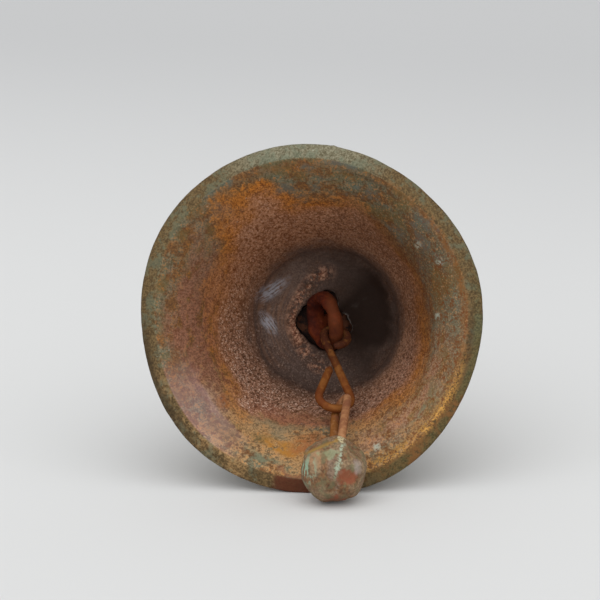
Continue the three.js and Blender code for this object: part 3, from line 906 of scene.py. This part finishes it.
def ball_bronze():
    """Dusty tan and grey over brown, streaked with verdigris, worn copper-red in places."""
    material, g, surface = finish_graph("ball_bronze")
    place = g.vector("SUBTRACT", laid_place(g), tuple(ball_centre))
    x, depth, z = g.parts(place)
    patches = g.noise(place, 0.005, 21.0, 3.0, 0.6)
    blotches = g.noise(place, 0.0021, 22.0, 3.0, 0.6)
    grain = g.noise(place, 0.0006, 23.0, 2.0, 0.6)
    in_front = g.step(depth, 0.002, -0.002)

    def spot(across_by, above, wide, high, edge=0.6, wander=4.5):
        """1 in an uneven oval on the ball's front, and 0 outside it."""
        far = off_axis((x - across_by) / wide, (z - above) / high) + (blotches - 0.5) * wander
        return g.step(far, 1.15, 1.15 - edge) * in_front

    def grained(dark, pale):
        return g.mix(g.step(grain, 0.35, 0.65), dark, pale)

    streaks = g.noise(g.vector("MULTIPLY", place, (1.0, 1.0, 0.3)), 0.0013, 24.0, 3.0, 0.6)
    left_side = g.step(x, -0.003, -0.0055) * g.hump(z, 0.0005, 0.0055)
    run = g.hump(x + (blotches - 0.5) * 0.005 - z * 0.12, 0.0016, 0.0009) * g.step(z, -0.0025, 0.001)
    run = run * g.step(z, 0.0078, 0.0066)
    worn = spot(0.0037, -0.001, 0.0027, 0.0019, 0.5, 2.0) + spot(0.001, -0.0072, 0.0028, 0.0012)
    brim = g.hump(z - x * 0.44 + (grain - 0.5) * 0.001, 0.0076, 0.0007) * g.step(x, 0.003, 0.0012) * in_front
    chip = spot(0.002, 0.0083, 0.0009, 0.0009) * g.step(grain, 0.4, 0.5)
    tone = g.coats(
        grained("#6C5640", "#8F775A"),
        (g.step(patches + (blotches - 0.5) * 0.5, 0.4, 0.58), grained("#593A24", "#7C5838")),
        (g.step(blotches, 0.5, 0.62) * 0.55, "#6A6B4E"),
        (spot(-0.0035, 0.0035, 0.003, 0.0026, 1.0) * 0.7, "#A07A58"),
        (spot(0.0003, 0.001, 0.0016, 0.006, 1.0) * 0.7, grained("#6A5A4C", "#857363")),
        (g.step(streaks, 0.48, 0.55) * left_side * in_front * 0.9, "#8AA78E"),
        (run * in_front * g.step(grain, 0.36, 0.5) * 0.8, "#9DAE98"),
        (spot(-0.001, 0.0047, 0.0022, 0.0012) * 0.55, "#86926F"),
        (worn * 0.85, "#7E3F22"),
        # Painted highlight: a pale lilac-grey spot on the ball's right.
        (spot(0.0063, 0.0014, 0.0012, 0.0022, 0.8, 2.0) * 0.6, "#A4958F"),
        (brim * g.step(blotches, 0.36, 0.52) * 0.8, "#94702F"),
        (chip, "#F0E4B8"),
        (g.step(z, -0.004, -0.0075) * g.step(blotches, 0.4, 0.56) * 0.6, "#5E4E34"),
    )
    relief = g.bump(0.55, 0.0006, patches * 0.5 + blotches * 0.8 + grain * 0.5)
    g.fill(surface, {
        "Base Color": tone, "Roughness": 0.8 - chip * 0.4 - worn * 0.2, "Metallic": chip * 0.6,
        "Normal": relief, "Specular IOR Level": 0.35,
    })
    return material


ball_values = {"Radius": ball_radius, "Seed": 6.0, "Material": ball_bronze()}
ball_mesh = grown("ball_seed", [(0, 0, 0), (0, 0, 0.001)], (ball_tree(), ball_values))
ball_mesh.transform(Matrix.Translation(ball_centre + Vector((0, 0, ball_lift))))
finished_piece("clapper_ball_cast", ball_mesh, "clapper", "ball_bronze", "clapper_ball")


# Tang
# A forged iron rod. Its end inside the bell is bent round and welded into an eye, and it runs out through the
# crown, the plate and the handle to a head hammered over the end washer.
tang_radius = 0.0025
eye_rod_radius = 0.0017
eye_turn = radians(28)
eye_lean = radians(12)
head_radius = 0.0044
head_flat_radius = 0.003
head_thickness = 0.0018
head_chamfer = 0.0003


def depths_of(node):
    """Lowest and highest depth of a CAD node along the bell's axis."""
    found = [(v.co - mouth_centre).dot(bell_axis) for v in frame["nodes"][node].data.vertices]
    return min(found), max(found)


def fused(meshes, voxel, material):
    """Overlapping closed shapes as one skin."""
    work = bmesh.new()
    for mesh in meshes:
        work.from_mesh(mesh)
    together = bpy.data.meshes.new("together")
    work.to_mesh(together)
    work.free()
    made = placed("together", together)
    skin = made.modifiers.new("skin", "REMESH")
    skin.mode = "VOXEL"
    skin.voxel_size = voxel
    skin.use_smooth_shade = True
    made.modifiers.new("soften", "SMOOTH").iterations = 4
    mesh = plain(made)
    mesh.materials.clear()
    mesh.materials.append(material)
    return mesh


# The tang's right side takes a lighter orange side colour: painted light, partly brighter rust.
tang_finish = rusty_iron("tang_rust", "#3A1005", "#571D08", "#6E3010", (0, 0, 0), (1, 0, 0), "#5E2C10")
eye_forward = Vector((sin(eye_turn) * cos(eye_lean), -cos(eye_turn), sin(eye_turn) * sin(eye_lean)))
ring_up = eye_forward.cross(eye_normal)
ring_turns = spread(0, tau, 73)[:-1]
ring_line = [
    eye_local + eye_forward * (eye_ring_radius * cos(a)) + ring_up * (eye_ring_radius * sin(a))
    for a in ring_turns
]
ring_thick = [1.0 + 0.08 * sin(5 * a) + 0.05 * sin(9 * a + 1) for a in ring_turns]
neck_back = eye_local - eye_forward * eye_ring_radius
neck_foot = crown_top - tang_radius * 0.6
neck_line = rounded([
    neck_back,
    Vector((neck_back.x * 0.7, (neck_back.y * 2 + neck_foot) / 3, neck_back.z * 0.7)),
    Vector((0, neck_foot, 0)),
    Vector((0, neck_foot + tang_radius, 0)),
])
_, tang_end = depths_of("tang")
head_from = tang_end - head_thickness
rod_line = evened([
    (0, neck_foot - tang_radius * 0.5),
    (tang_radius * 0.7, neck_foot - tang_radius * 0.3),
    (tang_radius, neck_foot + tang_radius * 0.3),
    (tang_radius, head_from),
    (head_radius - head_chamfer, head_from),
    (head_radius, head_from + head_thickness * 0.3),
    (head_radius - head_chamfer, head_from + head_thickness * 0.6),
    (head_flat_radius, tang_end - 0.0001),
    (0, tang_end),
], outline_gap)
tang_rust = (0.002, 0.0002)
ring_mesh = bent_wire(
    "ring_line", ring_line, ring_thick, eye_rod_radius, tang_finish, 24, tang_rust, 7.0, closed=True)

# The ring is forged wider along its own axis, most of all where it joins the neck.
for vertex in ring_mesh.vertices:
    back_share = (1 - (vertex.co - eye_local).dot(eye_forward) / eye_ring_radius) / 2
    vertex.co += eye_normal * (vertex.co - eye_local).dot(eye_normal) * (0.18 + 0.4 * back_share)

neck_thick = [1.0] * len(neck_line)
tang_mesh = fused((
    ring_mesh,
    bent_wire("neck_line", neck_line, neck_thick, tang_radius * 0.86, tang_finish, 24, tang_rust, 8.0),
    grown("rod_line", rod_line, turning(48, (0.004, 0.00022), (0.0012, 0.00008), 9.0, tang_finish)),
), 0.00028, tang_finish)
finished_piece("tang_forging", tang_mesh, "bell", "forged_iron", "tang")


# Crown plate and end washer
# Two discs cut from iron sheet with a punched hole for the tang. The large one closes the torn crown from
# outside and the small one spreads the load of the hammered head. Both are thick with rust.
bore_radius = 0.0028


def disc_line(node, radius, edge):
    low, high = depths_of(node)
    return evened([
        (bore_radius, low), (radius - edge, low), (radius, low + edge), (radius, high - edge),
        (radius - edge, high), (bore_radius, high), (bore_radius, low),
    ], 0.0004)


plate_face, _ = depths_of("crown_plate")
# The plate's face towards the bell takes a near-black side colour: painted shade where it shows through the
# crown's hole.
plate_finish = rusty_iron(
    "plate_rust", "#2A1009", "#47200F", "#6A3C22", (0, plate_face + 0.0005, 0), (0, -4, 0), "#160906")
for name, node, radius, edge, seed in (
    ("crown_plate_iron", "crown_plate", 0.0126, 0.0004, 10.0),
    ("end_washer_iron", "end_washer", 0.0056, 0.0003, 11.0),
):
    disc_turning = turning(96, (0.005, 0.00022), (0.0014, 0.0001), seed, plate_finish)
    disc_mesh = grown(name, disc_line(node, radius, edge), disc_turning)
    finished_piece(name, disc_mesh, "bell", "forged_iron", node)


# Handle
# A grip cast in the same bronze as the bell and turned on a lathe: a broad collar, a neck, a swelling grip
# between two beads, and a round pommel. Brown patina, worn golden where the hand and the floor rub it.
collar_radius = 0.012
collar_width = 0.0038
neck_radius = 0.0056
neck_at = 0.011
bead_radius = 0.0079
bead_width = 0.0044
grip_radius = 0.0086
pommel_radius = 0.0096
pommel_length = 0.014

handle_from, handle_to = depths_of("handle")
handle_length = handle_to - handle_from
bead_from = neck_at + 0.002
grip_from = bead_from + bead_width
pommel_from = handle_length - pommel_length
upper_bead_from = pommel_from - bead_width - 0.001


def out_to(radius, share):
    return neck_radius + (radius - neck_radius) * share


def bead(start):
    return [
        (out_to(bead_radius, sin(a) ** 0.6), start + bead_width * (1 - cos(a)) / 2)
        for a in spread(0, pi, 13)
    ]


def handle_outline():
    """Radius and length from the handle's base, outside only."""
    cove = [
        (out_to(collar_radius - 0.0014, (1 - sin(a)) ** 1.3),
         collar_width + (neck_at - collar_width) * (1 - cos(a)))
        for a in spread(0, pi / 2, 12)
    ]
    grip = [
        (out_to(grip_radius, sin(pi * share ** 0.9) ** 0.8),
         grip_from + (upper_bead_from - grip_from) * share)
        for share in spread(0.02, 0.98, 40)
    ]
    pommel = [
        (pommel_radius * cos(a), pommel_from + pommel_length * (a + 0.8) / 1.85)
        for a in spread(-0.8, 1.05, 28)
    ]
    return [
        (collar_radius - 0.001, 0), (collar_radius - 0.0003, 0.0003), (collar_radius, 0.001),
        (collar_radius, collar_width - 0.001), (collar_radius - 0.0004, collar_width - 0.0003),
        *cove, *bead(bead_from), *grip, *bead(upper_bead_from), *pommel,
    ]


def handle_bronze():
    """Brown patina with verdigris in the grooves, rubbed golden on the swells."""
    material, g, surface = finish_graph("handle_bronze")
    place = laid_place(g)
    x, depth, z = g.parts(place)
    radius = off_axis(x, z)
    patches = g.noise(place, 0.008, 31.0, 3.0, 0.6)
    blotches = g.noise(place, 0.0028, 32.0, 3.0, 0.6)
    grain = g.noise(place, 0.0006, 33.0, 2.0, 0.6)
    lines = g.noise(g.joined(radius * 3.0, depth, 0.0), 0.00035, 34.0, 1.0)
    low = g.step(radius, neck_radius + 0.0012, neck_radius)
    high = g.step(radius, neck_radius + 0.0016, grip_radius + 0.0004)
    rubbed = high * g.step(patches + (blotches - 0.5) * 0.6, 0.4, 0.6)
    tone = g.coats(
        "#5A4029",
        (g.step(blotches, 0.38, 0.62), "#7A5B3A"),
        (low * g.step(blotches, 0.35, 0.55) * 0.8, "#6C7660"),
        (g.step(patches, 0.54, 0.66) * g.step(grain, 0.4, 0.6) * 0.55, "#757F69"),
        (rubbed * 0.65, "#9C7540"),
    )
    relief = g.bump(0.45, 0.0003, blotches + grain * 0.4 + lines * 0.35)
    g.fill(surface, {
        "Base Color": tone, "Roughness": 0.72 - rubbed * 0.3, "Metallic": rubbed * 0.5 + 0.1,
        "Normal": relief,
    })
    return material


outside = [(radius, handle_from + along) for radius, along in handle_outline()]
bore_from, bore_to = (bore_radius, handle_from), (bore_radius, handle_to)
handle_line = evened([bore_from, *outside, bore_to, bore_from], outline_gap)
handle_turning = turning(128, (0.009, 0.00012), (0.002, 0.00004), 12.0, handle_bronze())
handle_mesh = grown("handle_line", handle_line, handle_turning)
finished_piece("handle_grip", handle_mesh, "bell", "handle_bronze", "handle")


# Floor and light
# A plain pale floor with painted shade that darkens it a little with distance, one very wide soft
# lamp in front and above, and an even pale surround.
floor_reach = 6.0
floor_mesh = bpy.data.meshes.new("floor")
floor_corners = [(x * floor_reach, y * floor_reach, 0) for x, y in ((-1, -1), (1, -1), (1, 1), (-1, 1))]
floor_mesh.from_pydata(floor_corners, [], [(0, 1, 2, 3)])
floor = placed("floor", floor_mesh)
floor_finish, g, surface = finish_graph("floor")
x, y, _ = g.parts(g.other(g.add("ShaderNodeTexCoord"), "Object"))
# Painted shade: the floor is darker further back, where the light falls off.
distance_shade = g.mix(g.step(y + x * 0.5, -0.1, 0.9), "#D3D4D4", "#B8B9BA")
g.fill(surface, {"Base Color": distance_shade, "Roughness": 0.9})
floor_mesh.materials.append(floor_finish)

lamp_turn, lamp_rise, lamp_width = radians(4), radians(50), radians(95)
lamp_data = bpy.data.lights.new("soft_lamp", "SUN")
lamp_data.angle = lamp_width
lamp_data.energy = 2.3
lamp_side = Vector((sin(lamp_turn) * cos(lamp_rise), -cos(lamp_turn) * cos(lamp_rise), sin(lamp_rise)))
lamp = placed("soft_lamp", lamp_data)
lamp.matrix_world = lamp_side.to_track_quat("Z", "Y").to_matrix().to_4x4()

surround = 0.58
surround_seen = 0.88
world = bpy.data.worlds.new("world")
world.use_nodes = True
scene.world = world
g = Graph(world.node_tree)
rays = g.add("ShaderNodeLightPath")
seen = rays + g.other(rays, "Is Glossy Ray") + g.other(rays, "Is Transmission Ray")
g.fill(world.node_tree.nodes["Background"], {
    "Color": (1.0, 1.0, 1.0, 1.0), "Strength": g.step(seen, 0.0, 1.0, surround, surround_seen),
})
scene.view_settings.view_transform = "Standard"
